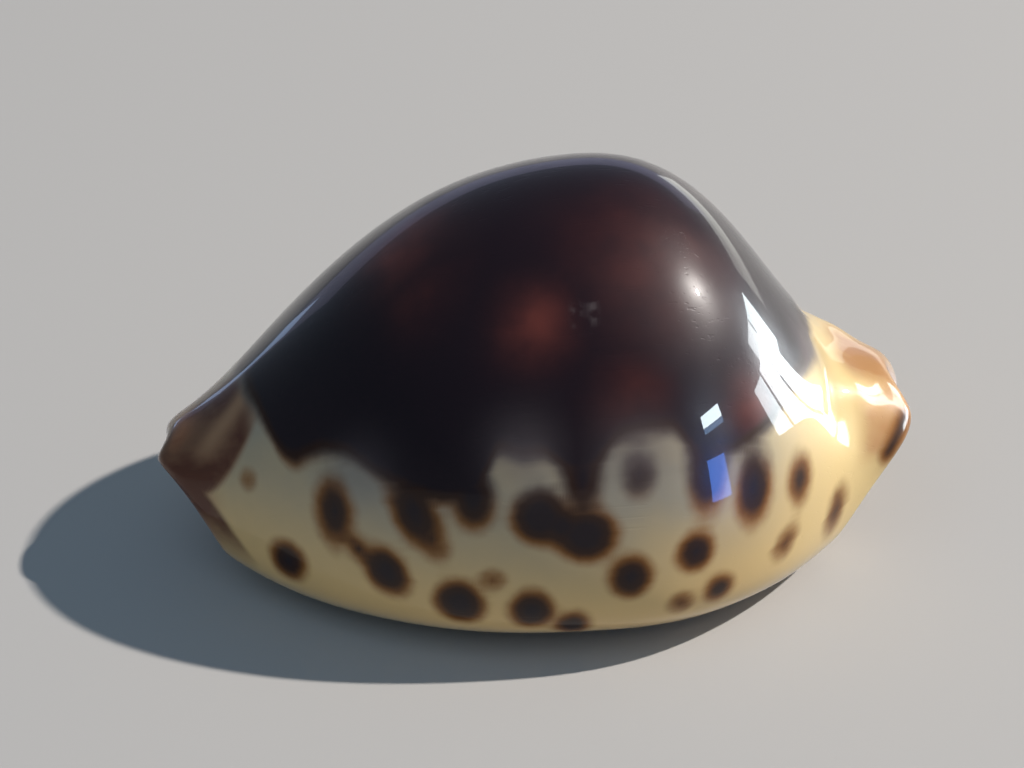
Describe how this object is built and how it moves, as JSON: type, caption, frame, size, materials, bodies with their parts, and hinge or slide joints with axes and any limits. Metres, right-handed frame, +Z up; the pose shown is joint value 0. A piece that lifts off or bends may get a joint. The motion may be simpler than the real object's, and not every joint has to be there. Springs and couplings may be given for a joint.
{
  "type": "cowrie shell",
  "caption": "Humped, highly polished sea shell, dark over the back with dark spots round a pale margin, hollow, with a toothed slit along the base.",
  "frame": {"origin": "under the middle of the shell's bounding box, on the surface it rests on", "axes": "+X towards the spire end, along the shell's length; -X towards the front end; +Z up, away from the slit; the outer lip is on +Y"},
  "size_m": [0.0801, 0.0521, 0.0437],
  "materials": {
    "shell": "polished"
  },
  "bodies": {
    "root": {"cowrie_shell": "shell"}
  },
  "joints": []
}
